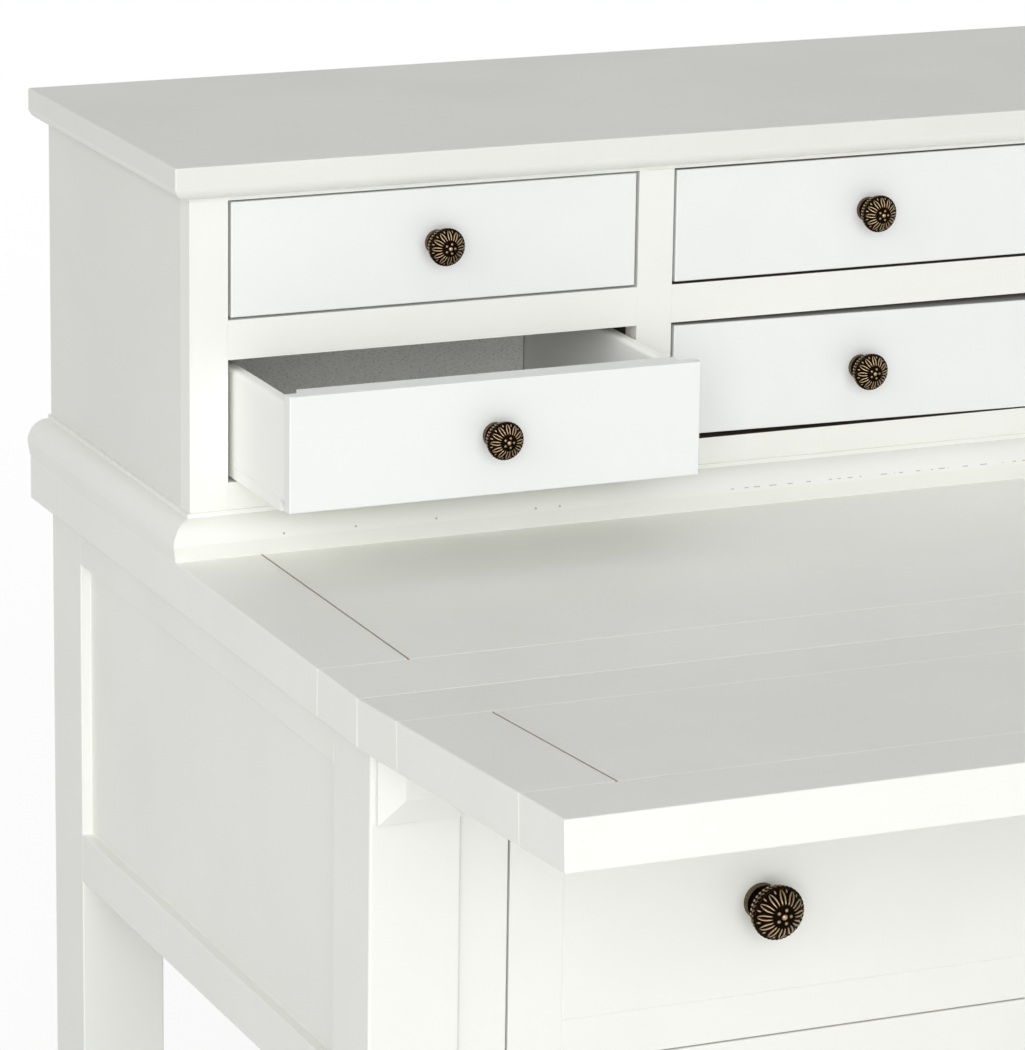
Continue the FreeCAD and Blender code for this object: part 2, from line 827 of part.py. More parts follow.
def knob(kind, x, y, z):
    """A mushroom knob on a drawer front, and the screw that holds it from inside."""
    head = f"{kind}_knob / 2"
    reach = f"{kind}_reach"
    foot_share, waist_share, collar_share = KNOB_COLLAR_SHARES
    neck_share, neck_top_share = KNOB_NECK_SHARES
    throat_share, bell_share, bell_top_share = KNOB_BELL_SHARES
    rim_share, rim_top_share = KNOB_RIM_SHARES
    neck_top = f"{reach} * {neck_top_share}"
    bell_high = f"{reach} * {bell_top_share} - {neck_top}"
    rim_high = f"{reach} * {rim_top_share} - {reach} * {bell_top_share}"
    dome_high = f"{reach} - {reach} * {rim_top_share}"
    body = doc.addObject("PartDesign::Body", "Knob")
    collar = {"Radius1": f"{head} * {foot_share}", "Radius2": f"{head} * {waist_share}"}
    solid(body, "Cone", Height=f"{reach} * {collar_share}", **collar)
    solid(body, "Cylinder", Height=neck_top, Radius=f"{head} * {neck_share}")
    bell = {"Radius1": f"{head} * {throat_share}", "Radius2": f"{head} * {bell_share}"}
    solid(body, "Cone", neck_top, Height=bell_high, **bell)
    solid(body, "Cylinder", f"{reach} * {bell_top_share}", Height=rim_high, Radius=f"{head} * {rim_share}")
    dome = solid(body, "Ellipsoid", f"{reach} * {rim_top_share}", Radius1=dome_high, Radius2=head)
    dome.Angle1 = 0
    hole = body.newObject("PartDesign::SubtractiveCylinder", "ScrewHole")
    tie(hole, "Radius", "screw / 2 + screw_clear")
    tie(hole, "Height", f"{neck_top} + screw_clear")
    screw = doc.addObject("PartDesign::Body", "Screw")
    front = f"{kind}_front"
    solid(screw, "Cylinder", f"-{front}", Height=f"{front} + {neck_top}", Radius="screw / 2")
    head_z = f"-{front} - screw_head_thick"
    solid(screw, "Cylinder", head_z, Height="screw_head_thick", Radius="screw_head / 2")
    for piece in (body, screw):
        turn(piece, x, y, z, "1; 0; 0", "90")
    return [body, screw]


def screw_hole(front, kind, x, z):
    """The hole for a knob's screw through a drawer front."""
    bore(front, "screw / 2 + screw_clear", f"{kind}_front + 2 * overrun", x, "-overrun", z, "-90")


def rabbets(front, kind, sides, whole, high):
    """Cut the ends of a drawer front back behind its lip, where the drawer's sides fit."""
    wide = f"{kind}_side + box_inset + rabbet_clear"
    for side in sides:
        x = in_piece(side, "-overrun", f"{wide} + overrun", whole)
        size = (f"{wide} + overrun", f"{kind}_front - {kind}_lip + overrun", f"{high} + 2 * overrun")
        notch(front, size, (x, f"{kind}_lip", "-overrun"))


def askew_corner(x, z, wide, high):
    """The low corner of a front that leans about its middle, which is at x and z."""
    across, up = f"({wide}) / 2", f"({high}) / 2"
    cosine, sine = "cos(askew_deg * 1 deg)", "sin(askew_deg * 1 deg)"
    return f"{x} - {across} * {cosine} - {up} * {sine}", f"{z} + {across} * {sine} - {up} * {cosine}"


def small_drawers():
    """Six drawers in two rows: the lower left one stands open, and the lower middle one's front has slipped."""
    low_gaps = {"lower_left": "open_low_gap", "lower_middle": "askew_low_gap"}
    wide = "small_wide - 2 * small_gap"
    high = "small_high"
    for row in ROWS:
        z = f"{row}_z"
        for number, column in enumerate(COLUMNS):
            x = column_x(number)
            spot = f"{row}_{column}"
            label = f"{spot}_drawer"
            low_z = f"{z} + {low_gaps.get(spot, 'small_low_gap')}"
            mid_x, mid_z = f"{x} + small_wide / 2", f"{low_z} + {high} / 2"
            y = "face_y - drawer_out" if spot == "lower_left" else "face_y"
            lean = "askew_deg" if spot == "lower_middle" else None
            front_x, front_z = askew_corner(mid_x, mid_z, wide, high) if lean else (f"{x} + small_gap", low_z)
            shift = "lower_knob_shift" if row == "lower" else "0"
            rise = "0" if lean else "small_knob_rise"
            size = (wide, "small_front", high)
            front = board(size, (front_x, y, front_z), ("front_ease", "front"), lean=lean)
            rabbets(front, "small", SIDES, wide, high)
            screw_hole(front, "small", f"({wide}) / 2 - {shift}", f"{high} / 2 + {rise}")
            keep(front, f"{label}_front")
            keep_group(drawer_box("small", x, y, z, "small_wide", high), f"{label}_box")
            keep_group(knob("small", f"{mid_x} - {shift}", y, f"{mid_z} + {rise}"), f"{label}_knob")


def base_drawer():
    """The wide drawer in the apron, with a flush framed front and two knobs."""
    y = "apron_y"
    x = "base_x + base_gap"
    z = "base_z + base_low_gap"
    wide = "base_wide - 2 * base_gap"
    inner = f"{wide} - 2 * frame_stile"
    hairline = ("joint_ease", "front")
    front = []
    for side in SIDES:
        stile = board(
            ("frame_stile", "base_front", "base_high"),
            (on_side(side, x, "frame_stile"), y, z),
            hairline,
        )
        rabbets(stile, "base", (side,), "frame_stile", "base_high")
        front.append(stile)
    inner_x = f"{x} + frame_stile"
    for rail_z in (z, f"{z} + base_high - frame_rail"):
        front.append(board((inner, "base_front", "frame_rail"), (inner_x, y, rail_z), hairline))
    panel_high = "base_high - 2 * frame_rail"
    panel = board((inner, "base_front", panel_high), (inner_x, y, f"{z} + frame_rail"), hairline)
    knobs = []
    knob_z = f"{z} + base_high / 2 + base_knob_rise"
    for side in SIDES:
        hole_x = in_piece(side, "base_knob_margin - base_gap - frame_stile", "0", f"({inner})")
        screw_hole(panel, "base", hole_x, f"({panel_high}) / 2 + base_knob_rise")
        knobs += knob("base", on_side(side, "base_x + base_knob_margin", "0"), y, knob_z)
    front.append(panel)
    keep_group(front, "base_drawer_front")
    keep_group(drawer_box("base", "base_x", y, "base_z", "base_wide", "base_high"), "base_drawer_box")
    keep_group(knobs, "base_drawer_knobs")


def check():
    """Stop if any object failed or any sub-part has no sound shape."""
    failed = [thing.Label for thing in doc.Objects if {"Invalid", "Error"} & set(thing.State)]
    if failed:
        raise RuntimeError("failed objects: " + ", ".join(failed))
    unsound = [node.Label for node in nodes if node.Shape.isNull() or not node.Shape.isValid()]
    if unsound:
        raise RuntimeError("unsound shapes: " + ", ".join(unsound))


def write():
    """One STEP file per sub-part."""
    os.makedirs("parts", exist_ok=True)
    for node in nodes:
        node.Shape.exportStep(f"parts/{node.Label}.step")
    print(len(nodes), "sub-parts,", sum(len(node.Shape.Solids) for node in nodes), "solids")


def main():
    fill_sheet()
    legs()
    side_walls()
    back_wall()
    apron_frame()
    drawer_runners()
    loper_guides()
    lopers()
    fixed_top()
    leaf()
    hinges()
    hutch_carcase()
    hutch_dividers()
    hutch_face_frame()
    mouldings()
    small_drawers()
    base_drawer()
    doc.recompute()
    check()
    write()


main()
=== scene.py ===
"""Finishes for a white writing desk: paint, bare wood, flower-headed brass knobs and a pale studio."""

import math

import bpy
import numpy as np
from mathutils import Matrix, Vector


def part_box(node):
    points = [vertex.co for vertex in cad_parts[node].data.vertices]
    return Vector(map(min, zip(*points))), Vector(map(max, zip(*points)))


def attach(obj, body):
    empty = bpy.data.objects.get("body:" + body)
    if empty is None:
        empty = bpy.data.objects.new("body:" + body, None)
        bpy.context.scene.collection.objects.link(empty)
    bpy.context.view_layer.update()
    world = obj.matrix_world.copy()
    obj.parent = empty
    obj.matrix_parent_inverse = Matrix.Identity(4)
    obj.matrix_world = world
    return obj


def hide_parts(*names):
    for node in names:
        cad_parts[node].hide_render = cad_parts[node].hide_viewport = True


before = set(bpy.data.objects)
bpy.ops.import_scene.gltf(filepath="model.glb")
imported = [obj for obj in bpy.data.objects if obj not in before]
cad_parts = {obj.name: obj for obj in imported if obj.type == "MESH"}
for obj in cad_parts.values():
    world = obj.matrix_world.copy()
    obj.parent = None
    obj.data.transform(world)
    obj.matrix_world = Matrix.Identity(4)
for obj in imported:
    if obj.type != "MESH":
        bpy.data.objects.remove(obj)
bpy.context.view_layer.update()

bl_info = {
    "name": "Writing Desk Finish",
    "version": (1, 0, 0),
    "blender": (4, 5, 0),
    "location": "View3D > Sidebar > Desk",
    "description": "Paints a writing desk, dresses its knobs and lights it",
    "category": "Object",
}

MM = 0.001
ROWS = ("lower", "upper")
COLUMNS = ("left", "middle", "right")
SMALL_DRAWERS = tuple(f"{row}_{column}_drawer" for row in ROWS for column in COLUMNS)

# Nodes that keep their bare wood, inside the carcase, where their near-black wood colour is painted shade
BARE_NODES = ("hutch_dividers_and_guides", "hutch_floor", "hutch_shelf", "drawer_runners", "loper_guides")

# Boards with bare wood in the cracks beside them
CRACKED_NODES = tuple(f"{top}_{board}" for top in ("top", "leaf") for board in (
    "panel", "end_board_left", "end_board_right"))


# Settings that a user would change


class PaintSettings(bpy.types.PropertyGroup):
    """Colours and surface of the paint and the bare wood; the hutch colour and the bare wood colour carry
    painted shade.
    """

    board_colour: bpy.props.FloatVectorProperty(
        name="Boards", description="Paint on the frame, top, leaf and hutch", subtype="COLOR", size=3,
        default=(0.85, 0.855, 0.812))
    # Painted shade: the hutch's top board and sides have the boards' paint, given darker for the lesser
    # light that falls on them
    hutch_shade_colour: bpy.props.FloatVectorProperty(
        name="Hutch", description="Paint on the hutch's top board and sides", subtype="COLOR", size=3,
        default=(0.775, 0.775, 0.735))
    drawer_colour: bpy.props.FloatVectorProperty(
        name="Drawers", description="Paint on the drawer fronts", subtype="COLOR", size=3,
        default=(0.831, 0.845, 0.835))
    inside_colour: bpy.props.FloatVectorProperty(
        name="Drawer boxes", description="Paint on the drawers' sides, backs and bottoms",
        subtype="COLOR", size=3, default=(0.91, 0.915, 0.88))
    # Painted shade: bare wood given near black for the deep shade inside the carcase and in the shut
    # drawers' gaps; the foot moulding's flecks take it too
    wood_and_shade_colour: bpy.props.FloatVectorProperty(
        name="Bare wood", description="Unpainted wood inside the carcase", subtype="COLOR", size=3,
        default=(0.075, 0.052, 0.036))
    edge_colour: bpy.props.FloatVectorProperty(
        name="Bare edges", description="Wood at board edges where the paint stops", subtype="COLOR", size=3,
        default=(0.60, 0.53, 0.43))
    roughness: bpy.props.FloatProperty(
        name="Roughness", description="Satin sheen of the paint", subtype="FACTOR",
        default=0.42, min=0, max=1)
    brush_depth: bpy.props.FloatProperty(
        name="Brush depth", description="Height of the brush marks", unit="LENGTH", precision=6,
        default=0.03 * MM)


class BrassSettings(bpy.types.PropertyGroup):
    """Colours of the aged brass."""

    patina: bpy.props.FloatVectorProperty(
        name="Patina", description="Dark metal in the hollows", subtype="COLOR", size=3,
        default=(0.006, 0.0026, 0.0006))
    worn: bpy.props.FloatVectorProperty(
        name="Worn", description="Rubbed metal on the high places", subtype="COLOR", size=3,
        default=(0.54, 0.405, 0.245))
    plain: bpy.props.FloatVectorProperty(
        name="Plain brass", description="Hinges and screws", subtype="COLOR", size=3,
        default=(0.62, 0.49, 0.26))


class KnobSettings(bpy.types.PropertyGroup):
    """What the knob's flower is made of."""

    petals: bpy.props.IntProperty(
        name="Petals", description="Petals round the head", default=12, min=3)
    rope_turns: bpy.props.IntProperty(
        name="Rope turns", description="Beads along the rim", default=36, min=6)
    centre_beads: bpy.props.IntProperty(
        name="Centre beads", description="Beads round the middle one", default=5, min=3)
    around: bpy.props.IntProperty(
        name="Steps around", description="Mesh steps round the knob", default=288, min=24)


class StudioSettings(bpy.types.PropertyGroup):
    """Camera and light."""

    camera_place: bpy.props.FloatVectorProperty(
        name="Camera", description="Where the camera stands", subtype="TRANSLATION", unit="LENGTH", size=3,
        default=(-1.65998, -3.00259, 1.71679))
    azimuth: bpy.props.FloatProperty(
        name="Azimuth", description="How far the view turns from +Y to +X", subtype="ANGLE",
        default=math.radians(23.609))
    dip: bpy.props.FloatProperty(
        name="Dip", description="How far the view looks down", subtype="ANGLE", default=math.radians(15.258))
    roll: bpy.props.FloatProperty(
        name="Roll", description="Turn of the camera about its view", subtype="ANGLE",
        default=math.radians(0.856))
    lens: bpy.props.FloatProperty(
        name="Lens", description="Focal length on a 36 mm sensor", unit="CAMERA", default=179.117)
    sky: bpy.props.FloatProperty(
        name="Sky", description="Strength of the even light", default=0.27, min=0)
    key_power: bpy.props.FloatProperty(
        name="Front light", description="Power of the front softbox", unit="POWER", default=388, min=0)
    side_power: bpy.props.FloatProperty(
        name="Side light", description="Power of the softbox at the left", unit="POWER", default=128, min=0)
    top_power: bpy.props.FloatProperty(
        name="Top light", description="Power of the softbox above", unit="POWER", default=34, min=0)
    floor_colour: bpy.props.FloatVectorProperty(
        name="Floor", description="Pale studio floor", subtype="COLOR", size=3, default=(0.80, 0.80, 0.80))
    floor_glow: bpy.props.FloatProperty(
        name="Floor glow", description="How far the distant floor is lifted to white in view", default=0.79,
        min=0, max=1)


# Shader maths


class Wire:
    """An output socket of a material; arithmetic on wires adds Math nodes."""

    def __init__(self, tree, socket):
        self.tree = tree
        self.socket = socket

    def node(self, kind, settings=None, inputs=None, out=0):
        """Add a node: set its settings, then its sockets' values or links, and give one output."""
        made = self.tree.nodes.new(kind)
        for name, value in (settings or {}).items():
            if name == "stops":
                set_stops(made.color_ramp, value)
            else:
                setattr(made, name, value)
        for key, value in (inputs or {}).items():
            if isinstance(value, Wire):
                self.tree.links.new(value.socket, made.inputs[key])
            else:
                made.inputs[key].default_value = value
        return Wire(self.tree, made.outputs[out])

    def math(self, operation, *values):
        return self.node("ShaderNodeMath", {"operation": operation}, dict(enumerate(values)))

    def __add__(self, other):
        return self.math("ADD", self, other)

    __radd__ = __add__

    def __sub__(self, other):
        return self.math("SUBTRACT", self, other)

    def __rsub__(self, other):
        return self.math("SUBTRACT", other, self)

    def __mul__(self, other):
        return self.math("MULTIPLY", self, other)

    __rmul__ = __mul__

    def __abs__(self):
        return self.math("ABSOLUTE", self)

    def over(self, limit):
        """1 where the value passes a limit, else 0."""
        return self.math("GREATER_THAN", self, limit)

    def ramp(self, *stops):
        """The value through a ramp of (place, grey or colour) stops."""
        return self.node("ShaderNodeValToRGB", {"stops": stops}, {"Fac": self})

    def mix(self, low, high):
        """A colour between two colours, by this value."""
        return self.node(
            "ShaderNodeMix", {"data_type": "RGBA"}, {0: self, 6: rgba(low), 7: rgba(high)}, out=2)

    def noise(self, scale, detail=2.0, stretch=(1, 1, 1)):
        """Noise on this vector, stretched along the axes."""
        place = self.node("ShaderNodeMapping", {}, {"Vector": self, "Scale": stretch})
        return self.node("ShaderNodeTexNoise", {}, {"Vector": place, "Scale": scale, "Detail": detail})

    def bump(self, depth):
        """A normal bent by this height, whose full step is a depth in metres."""
        return self.node("ShaderNodeBump", {}, {"Height": self, "Distance": depth}, out="Normal")


def set_stops(ramp, stops):
    """Give a colour ramp its stops."""
    while len(ramp.elements) < len(stops):
        ramp.elements.new(1)
    for element, (place, colour) in zip(ramp.elements, stops):
        element.position = place
        element.color = rgba(colour)


def rgba(colour):
    """A grey number or a colour with its alpha; wires stay as they are."""
    if isinstance(colour, Wire):
        return colour
    if isinstance(colour, (int, float)):
        return (colour, colour, colour, 1)
    return (*colour, 1)


def start(name):
    """A new material: its main shader's node, and the place on the object as a wire."""
    material = bpy.data.materials.new(name)
    material.use_nodes = True
    tree = material.node_tree
    shader = next(node for node in tree.nodes if node.type == "BSDF_PRINCIPLED")
    place = Wire(tree, tree.nodes.new("ShaderNodeTexCoord").outputs["Object"])
    return material, shader, place


def finish_shader(shader, place, **sockets):
    """Set or link the main shader's sockets; underscores stand for spaces."""
    for name, value in sockets.items():
        socket = shader.inputs[name.replace("_", " ")]
        if isinstance(value, Wire):
            place.tree.links.new(value.socket, socket)
        else:
            socket.default_value = value


# How brush marks are drawn out along each grain
GRAIN_STRETCH = {"x": (0.03, 1, 1), "y": (1, 0.03, 1), "z": (1, 1, 0.03)}

# Cracks lie this near to the middle of the desk, and the ends of the boards lie past it
CRACK_REACH = 470 * MM

# Drawers to the right of this stand shut; the painted shade in the gaps about them starts here
SHUT_START = -170 * MM


def facing(place):
    """The way a face looks on its own object, as three wires."""
    normal = place.node("ShaderNodeTexCoord", {}, {}, out="Normal")
    return parts(normal)


def parts(vector):
    """A vector's three parts."""
    return [vector.node("ShaderNodeSeparateXYZ", {}, {0: vector}, out=axis) for axis in "XYZ"]


def no_bare(place):
    """Paint all over."""
    return None


def bare_cracks(place):
    """1 on the sides of the cracks between the panel and the end boards."""
    return abs(facing(place)[0]).over(0.5) * (CRACK_REACH - abs(parts(place)[0])).over(0.0)


def shaded_openings(place):
    """1 on the faces that look up and down into the shut drawers' openings, where the near-black wood colour
    paints the shade in the gaps about those drawers.
    """
    return abs(facing(place)[2]).over(0.5) * parts(place)[0].over(SHUT_START)


# Flecks on the front of the hutch's foot moulding: a broken line, and nail holes
FLECK_HEIGHT = 783.8 * MM
FLECK_START = -110 * MM
FLECK_HALF = 0.3 * MM
FLECK_NOISE = 150
FLECK_LEVEL = 0.53
FLECK_STRENGTH = 0.5
HOLE_PLACES = (-443 * MM, -391 * MM, -332 * MM, -258 * MM, -240 * MM)
HOLE_RADIUS = 0.8 * MM
FOOT_FRONT = 176 * MM


def foot_marks(place):
    """1 in a broken line along the right of the foot moulding's front, and in nail holes along its left."""
    x, y, z = parts(place)
    above = abs(z - FLECK_HEIGHT)
    dashes = place.noise(FLECK_NOISE, 1, (1, 0, 0)).over(FLECK_LEVEL)
    marks = dashes * x.over(FLECK_START) * (FLECK_HALF - above).over(0.0)
    for hole in HOLE_PLACES:
        away = above * above + (x - hole) * (x - hole)
        marks = marks + (HOLE_RADIUS ** 2 - away).over(0.0)
    return marks * (FOOT_FRONT - y).over(0.0)


def shade(colour, share):
    """A colour made lighter or darker by a share."""
    return tuple(share * part for part in colour)


def satin_paint(name, colour, grain, bare_and_shade=no_bare, bare_and_shade_colour=None, marks=no_bare):
    """White satin paint: fine brush marks along the grain, peel, soft mottling and a few nibs of dust.

    Bare wood shows where the first mask is 1, on the face frame dark as painted shade in the shut drawers'
    gaps, and dark flecks where the second one is.
    """
    paint = bpy.context.scene.desk_paint
    material, shader, place = start(name)
    brush = place.noise(640, 3, GRAIN_STRETCH[grain])
    peel = place.noise(1300, 1)
    cloud = place.noise(9, 3)
    cell = {"Vector": place, "Scale": 38.0}
    nibs = place.node("ShaderNodeTexVoronoi", {}, cell, out="Distance").ramp((0.0, 1), (0.03, 0))
    tint = cloud.ramp((0.35, 0), (0.7, 1)).mix(colour, shade(colour, 0.975))
    wood_and_shade = bare_and_shade(place)
    if wood_and_shade is not None:
        tint = wood_and_shade.mix(tint, bare_and_shade_colour)
    flecks = marks(place)
    if flecks is not None:
        tint = (flecks * FLECK_STRENGTH).mix(tint, paint.wood_and_shade_colour)
    finish_shader(
        shader, place,
        Base_Color=tint,
        Roughness=(cloud - 0.5) * 0.10 + (brush - 0.5) * 0.10 + paint.roughness,
        Normal=(brush * 0.6 + peel * 0.4 + nibs * 2.0).bump(paint.brush_depth),
    )
    return material


def grained_paint(name, colour):
    """Thin paint over open-grained board: dark pores run across the faces that look to front and back."""
    paint = bpy.context.scene.desk_paint
    material, shader, place = start(name)
    pores = place.noise(1300, 1, (0.35, 1, 1)).ramp((0.54, 0), (0.64, 1))
    pores = pores * abs(facing(place)[1]).over(0.5)
    brush = place.noise(420, 3, GRAIN_STRETCH["y"])
    tint = (pores * 0.35).mix(colour, shade(colour, 0.45))
    finish_shader(
        shader, place,
        Base_Color=tint,
        Roughness=pores * 0.2 + (brush - 0.5) * 0.1 + paint.roughness + 0.05,
        Normal=(brush * 0.3 - pores).bump(4 * paint.brush_depth),
    )
    return material


def shaded_bare_wood(name, colour):
    """Planed softwood with rings and fine fibres along X, in the colour it is given; inside the carcase that
    colour is near black, as painted shade.
    """
    material, shader, place = start(name)
    rings = place.noise(60, 3, (0.05, 1, 1))
    fibres = place.noise(900, 2, (0.02, 1, 1))
    figure = (rings * 0.7 + fibres * 0.3).ramp((0.35, 0), (0.65, 1))
    tint = figure.mix(shade(colour, 1.25), shade(colour, 0.62))
    finish_shader(
        shader, place,
        Base_Color=tint,
        Roughness=fibres * 0.2 + 0.55,
        Normal=(rings * 0.5 + fibres * 0.5).bump(0.08 * MM),
    )
    return material


def aged_brass(name):
    """Brass gone dark in the hollows and rubbed bright where the relief stands high."""
    brass = bpy.context.scene.desk_brass
    material, shader, place = start(name)
    relief = place.node("ShaderNodeAttribute", {"attribute_name": "relief"}, {}, out="Fac")
    stain = place.noise(900, 3)
    rubbed = (relief + (stain - 0.5) * 0.3).ramp((0.44, 0), (1.0, 1))
    finish_shader(
        shader, place,
        Base_Color=rubbed.mix(brass.patina, brass.worn),
        Metallic=rubbed * 0.9 + 0.1,
        Specular_IOR_Level=0.02,
        Roughness=0.44 - rubbed * 0.20 + (stain - 0.5) * 0.16,
        Normal=stain.bump(0.03 * MM),
    )
    return material


def plain_brass(name):
    """Turned brass with fine marks and a little tarnish."""
    brass = bpy.context.scene.desk_brass
    material, shader, place = start(name)
    tarnish = place.noise(300, 3)
    marks = place.noise(2500, 1)
    finish_shader(
        shader, place,
        Base_Color=tarnish.ramp((0.4, 0), (0.75, 1)).mix(brass.plain, shade(brass.plain, 0.5)),
        Metallic=1.0,
        Roughness=tarnish * 0.25 + 0.22,
        Normal=marks.bump(0.01 * MM),
    )
    return material


# Meshes from parametric surfaces


def add_surface(name, points, relief=None):
    """A closed piece from a grid of points: rows run from pole to pole, and columns go round.

    The first and last rows are single points; quads join the rows between, and fans close the poles.
    """
    rows, columns = points.shape[:2]
    ring = points[1:-1].reshape(-1, 3)
    verts = np.vstack((points[0, :1], ring, points[-1, :1]))
    index = 1 + np.arange((rows - 2) * columns).reshape(rows - 2, columns)
    along = np.roll(index, -1, axis=1)
    quads = np.stack((index[:-1], along[:-1], along[1:], index[1:]), axis=-1).reshape(-1, 4)
    first = np.stack((np.zeros(columns, int), along[0], index[0]), axis=-1)
    last = np.stack((np.full(columns, len(verts) - 1), index[-1], along[-1]), axis=-1)
    mesh = bpy.data.meshes.new(name)
    mesh.from_pydata(verts.tolist(), [], quads.tolist() + first.tolist() + last.tolist())
    mesh.polygons.foreach_set("use_smooth", np.ones(len(mesh.polygons), bool))
    if relief is not None:
        values = np.concatenate((relief[0, :1], relief[1:-1].ravel(), relief[-1, :1]))
        mesh.attributes.new("relief", "FLOAT", "POINT").data.foreach_set("value", values.astype(np.float32))
    mesh.update()
    piece = bpy.data.objects.new(name, mesh)
    bpy.context.scene.collection.objects.link(piece)
    return piece


def hump(distance, width):
    """A round bump: 1 at the middle, 0 at the width and past it, like half a ball."""
    return np.sqrt(np.clip(1 - (distance / width) ** 2, 0, 1))


def smooth(value, low, high):
    """0 below low, 1 above high, eased between."""
    share = np.clip((value - low) / (high - low), 0, 1)
    return share * share * (3 - 2 * share)


# The knob's outline from the drawer out: radius shares of the head, height shares of the reach
KNOB_OUTLINE_SHARES = (
    (0.00, 0.000), (0.60, 0.000), (0.650, 0.012), (0.665, 0.040), (0.655, 0.090), (0.62, 0.130),
    (0.50, 0.150), (0.44, 0.200), (0.42, 0.280), (0.44, 0.350), (0.56, 0.420), (0.76, 0.480),
    (0.88, 0.515), (0.905, 0.550), (0.905, 0.590), (0.88, 0.625), (0.93, 0.655), (0.955, 0.690),
    (0.94, 0.725), (0.90, 0.738), (0.86, 0.755), (0.78, 0.800), (0.66, 0.850), (0.50, 0.895),
    (0.32, 0.925), (0.16, 0.940), (0.00, 0.945),
)
OUTLINE_STEPS = 190

# Heights, as shares of the reach: the collar's top, the row of beads, the rim and where the face starts
COLLAR_SHARE = 0.14
BEAD_ROW_SHARE = 0.572
RIM_SHARE = 0.69
RIM_WIDTH_SHARE = 0.045
FACE_SHARES = (0.72, 0.745)

# Radii, as shares of the head: the ring, the petals, the drops between their tips, and the beads
RING_RADIUS_SHARE = 0.915
RING_WIDTH_SHARE = 0.018
PETAL_REACH_SHARES = (0.34, 0.875)
TIP_RADIUS_SHARE = 0.83
TIP_WIDTH_SHARE = 0.04
BEAD_RING_SHARE = 0.245
BEAD_SHARES = (0.125, 0.082)
ROW_BEAD_SHARE = 0.066

# How far each part of the relief stands out, as a share of the head, and how bright it is rubbed
LIFT_SHARES = {"petals": 0.08, "tips": 0.045, "ring": 0.018, "rope": 0.042, "beads": 0.085, "row": 0.045}
SHINE_SHARES = {"petals": 1, "tips": 1, "ring": 0.78, "rope": 0.7, "beads": 1, "row": 1}
COLLAR_SHINE = 0.56


def outline_points(shares, count):
    """A smooth curve through the outline's points: cubic Hermite spans with Catmull-Rom tangents."""
    knots = np.array(shares)
    tangents = np.gradient(knots, axis=0)
    place = np.linspace(0, len(knots) - 1, count)
    span = np.minimum(place.astype(int), len(knots) - 2)
    t = (place - span)[:, None]
    p0, p1, m0, m1 = knots[span], knots[span + 1], tangents[span], tangents[span + 1]
    curve = (
        (2 * t ** 3 - 3 * t ** 2 + 1) * p0 + (t ** 3 - 2 * t ** 2 + t) * m0
        + (3 * t ** 2 - 2 * t ** 3) * p1 + (t ** 3 - t ** 2) * m1
    )
    curve[:, 0] = np.clip(curve[:, 0], 0, 1)
    curve[[0, -1], 0] = 0
    return curve


def flower_relief(radius, height, angle, knob):
    """Height of the knob's relief, in shares of the head, from radius and height shares and the angle.

    Petals: two ridges that part from the middle and meet at the tip, with a groove between petals.
    Beads: a drop between each two tips, a ring of balls about one at the middle, and a row behind
    the roped rim. The second result is how bright each place is rubbed.
    """
    front = smooth(height, *FACE_SHARES)
    inner, outer = PETAL_REACH_SHARES
    along = np.clip((radius - inner) / (outer - inner), 0, 1)
    across = np.abs((angle * knob.petals / math.tau + 0.5) % 1 - 0.5) * 2
    spread = 0.86 * np.clip(1 - np.clip((along - 0.42) / 0.58, 0, 1) ** 2.2, 0, 1)
    ridge = np.exp(-((across - 0.56 * spread) / (0.21 * spread + 0.03)) ** 2)
    on_petal = smooth(along, 0.0, 0.25) * (1 - smooth(along, 0.96, 1.0))
    on_petal = on_petal * smooth(1.12 * spread - across, 0, 0.1)
    petals = front * on_petal * (0.2 + 0.8 * ridge)
    tip_gap = (1 - across) * math.pi / knob.petals * radius
    tips = front * hump(np.hypot(tip_gap, 0.6 * (radius - TIP_RADIUS_SHARE)), TIP_WIDTH_SHARE)
    ring = front * hump(radius - RING_RADIUS_SHARE, RING_WIDTH_SHARE)
    rope_phase = angle * knob.rope_turns / math.tau + (height - RIM_SHARE) * 9
    rim = hump(height - RIM_SHARE, RIM_WIDTH_SHARE) * smooth(radius, 0.86, 0.92)
    rope = rim * (0.35 + 0.65 * np.abs(np.cos(math.pi * rope_phase)))
    row_gap = np.abs((angle * knob.rope_turns / math.tau + 0.5) % 1 - 0.5)
    row_gap = row_gap * math.tau / knob.rope_turns * radius
    behind = (height < RIM_SHARE - RIM_WIDTH_SHARE) * smooth(radius, 0.8, 0.86)
    row = behind * hump(np.hypot(row_gap, 2 * (height - BEAD_ROW_SHARE)), ROW_BEAD_SHARE)
    x, y = radius * np.cos(angle), radius * np.sin(angle)
    middle, around = BEAD_SHARES
    beads = hump(radius, middle)
    for turn in np.arange(knob.centre_beads) * math.tau / knob.centre_beads:
        gap = np.hypot(x - BEAD_RING_SHARE * math.cos(turn), y - BEAD_RING_SHARE * math.sin(turn))
        beads = np.maximum(beads, 0.85 * hump(gap, around))
    beads = front * beads
    relief = {"petals": petals, "tips": tips, "ring": ring, "rope": rope, "beads": beads, "row": row}
    lift = sum(LIFT_SHARES[name] * part for name, part in relief.items())
    shine = np.maximum.reduce([SHINE_SHARES[name] * part for name, part in relief.items()])
    collar = (1 - front) * smooth(COLLAR_SHARE - height, 0, 0.02) * COLLAR_SHINE
    return lift, np.maximum(shine, collar)


